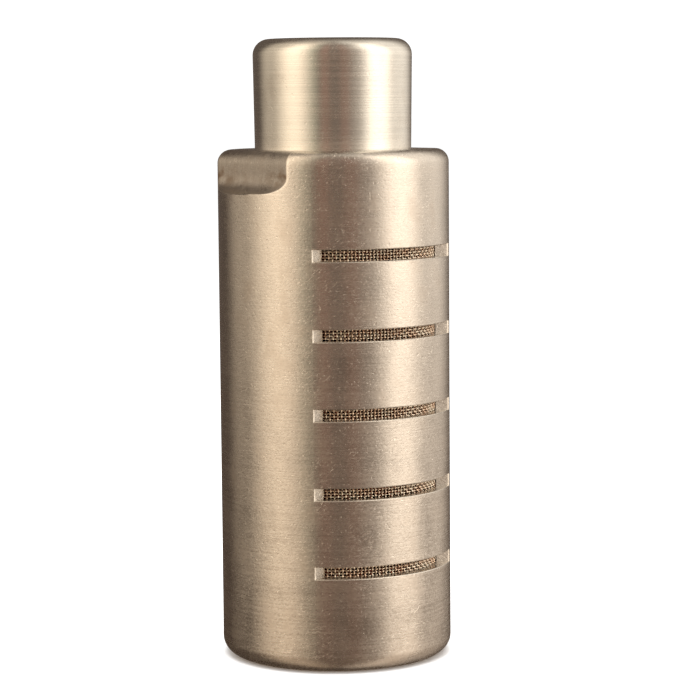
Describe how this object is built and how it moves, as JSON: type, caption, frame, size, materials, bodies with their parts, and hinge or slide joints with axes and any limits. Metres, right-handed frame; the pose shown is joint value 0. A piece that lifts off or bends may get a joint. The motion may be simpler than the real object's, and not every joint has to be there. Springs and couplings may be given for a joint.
{
  "type": "pneumatic muffler",
  "caption": "Round stainless exhaust muffler for compressed air: smooth neck with a female pipe thread, wrench flats, and sawn slots in front of a woven wire screen.",
  "frame": {"origin": "centre of the bottom, in the plane that the rolled edge stands on", "axes": "+Z along the housing's axis, up to the inlet port; the slots face -Y and +Y, and the wrench flats face -X and +X"},
  "size_m": [0.0318, 0.0318, 0.0848],
  "materials": {
    "housing_steel": "satin turned stainless steel, warm grey, finely scratched",
    "neck_steel": "bright turned stainless steel with fine turning lines",
    "plate_steel": "satin stamped stainless steel",
    "screen_steel": "woven stainless wire, brown tinted",
    "screen_bronze": "woven bronze wire, dull",
    "cartridge_steel": "plain rolled stainless steel",
    "spring_steel": "blued spring steel",
    "packing_felt": "pressed mineral fibre felt",
    "fibre_gasket": "pressed fibre sheet",
    "rubber_seal": "matt nitrile rubber"
  },
  "bodies": {
    "root": {"housing": "housing_steel", "inlet_neck": "neck_steel", "neck_o_ring": "rubber_seal", "outer_screen": "screen_steel", "backing_screen": "screen_bronze", "core_tube": "cartridge_steel", "core_plug": "cartridge_steel", "core_screen": "screen_bronze", "top_end_ring": "cartridge_steel", "bottom_end_ring": "cartridge_steel", "upper_gasket": "fibre_gasket", "lower_gasket": "fibre_gasket", "disc_spring": "spring_steel", "end_plate": "plate_steel", "packing_ring_1": "packing_felt", "packing_ring_2": "packing_felt", "packing_ring_3": "packing_felt", "packing_ring_4": "packing_felt", "packing_spacer_1": "cartridge_steel", "packing_spacer_2": "cartridge_steel", "packing_spacer_3": "cartridge_steel"}
  },
  "joints": []
}
